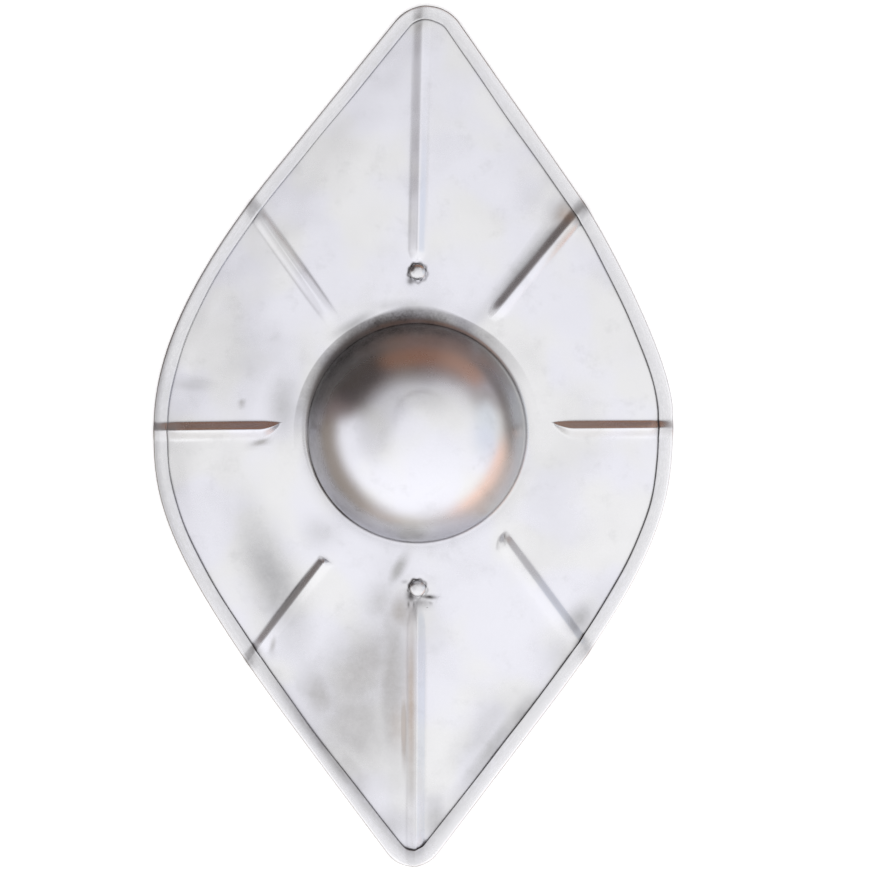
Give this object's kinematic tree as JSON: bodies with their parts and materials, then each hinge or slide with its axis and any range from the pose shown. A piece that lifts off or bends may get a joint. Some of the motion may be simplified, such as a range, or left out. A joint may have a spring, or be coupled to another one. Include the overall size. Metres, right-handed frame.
{
  "type": "buckler",
  "caption": "Small lozenge-shaped steel hand shield with a domed boss, raised ribs, a folded rim and a riveted strap grip behind.",
  "frame": {"origin": "on the surface it lies on, under the middle of its outline", "axes": "+Y along the long axis to the upper point, +X to the right seen from the front, +Z out of the front through the boss"},
  "size_m": [0.35, 0.5798, 0.0627],
  "materials": {
    "shield_steel": "hand-polished mild steel sheet with faint grey smudges and hammer marks",
    "grip_steel": "plain ground steel strap, duller than the front",
    "rivet_steel": "hammered steel rivet heads, darkened round the edge"
  },
  "bodies": {
    "root": {"shield": "shield_steel", "grip": "grip_steel", "rivet_upper": "rivet_steel", "rivet_lower": "rivet_steel"}
  },
  "joints": []
}
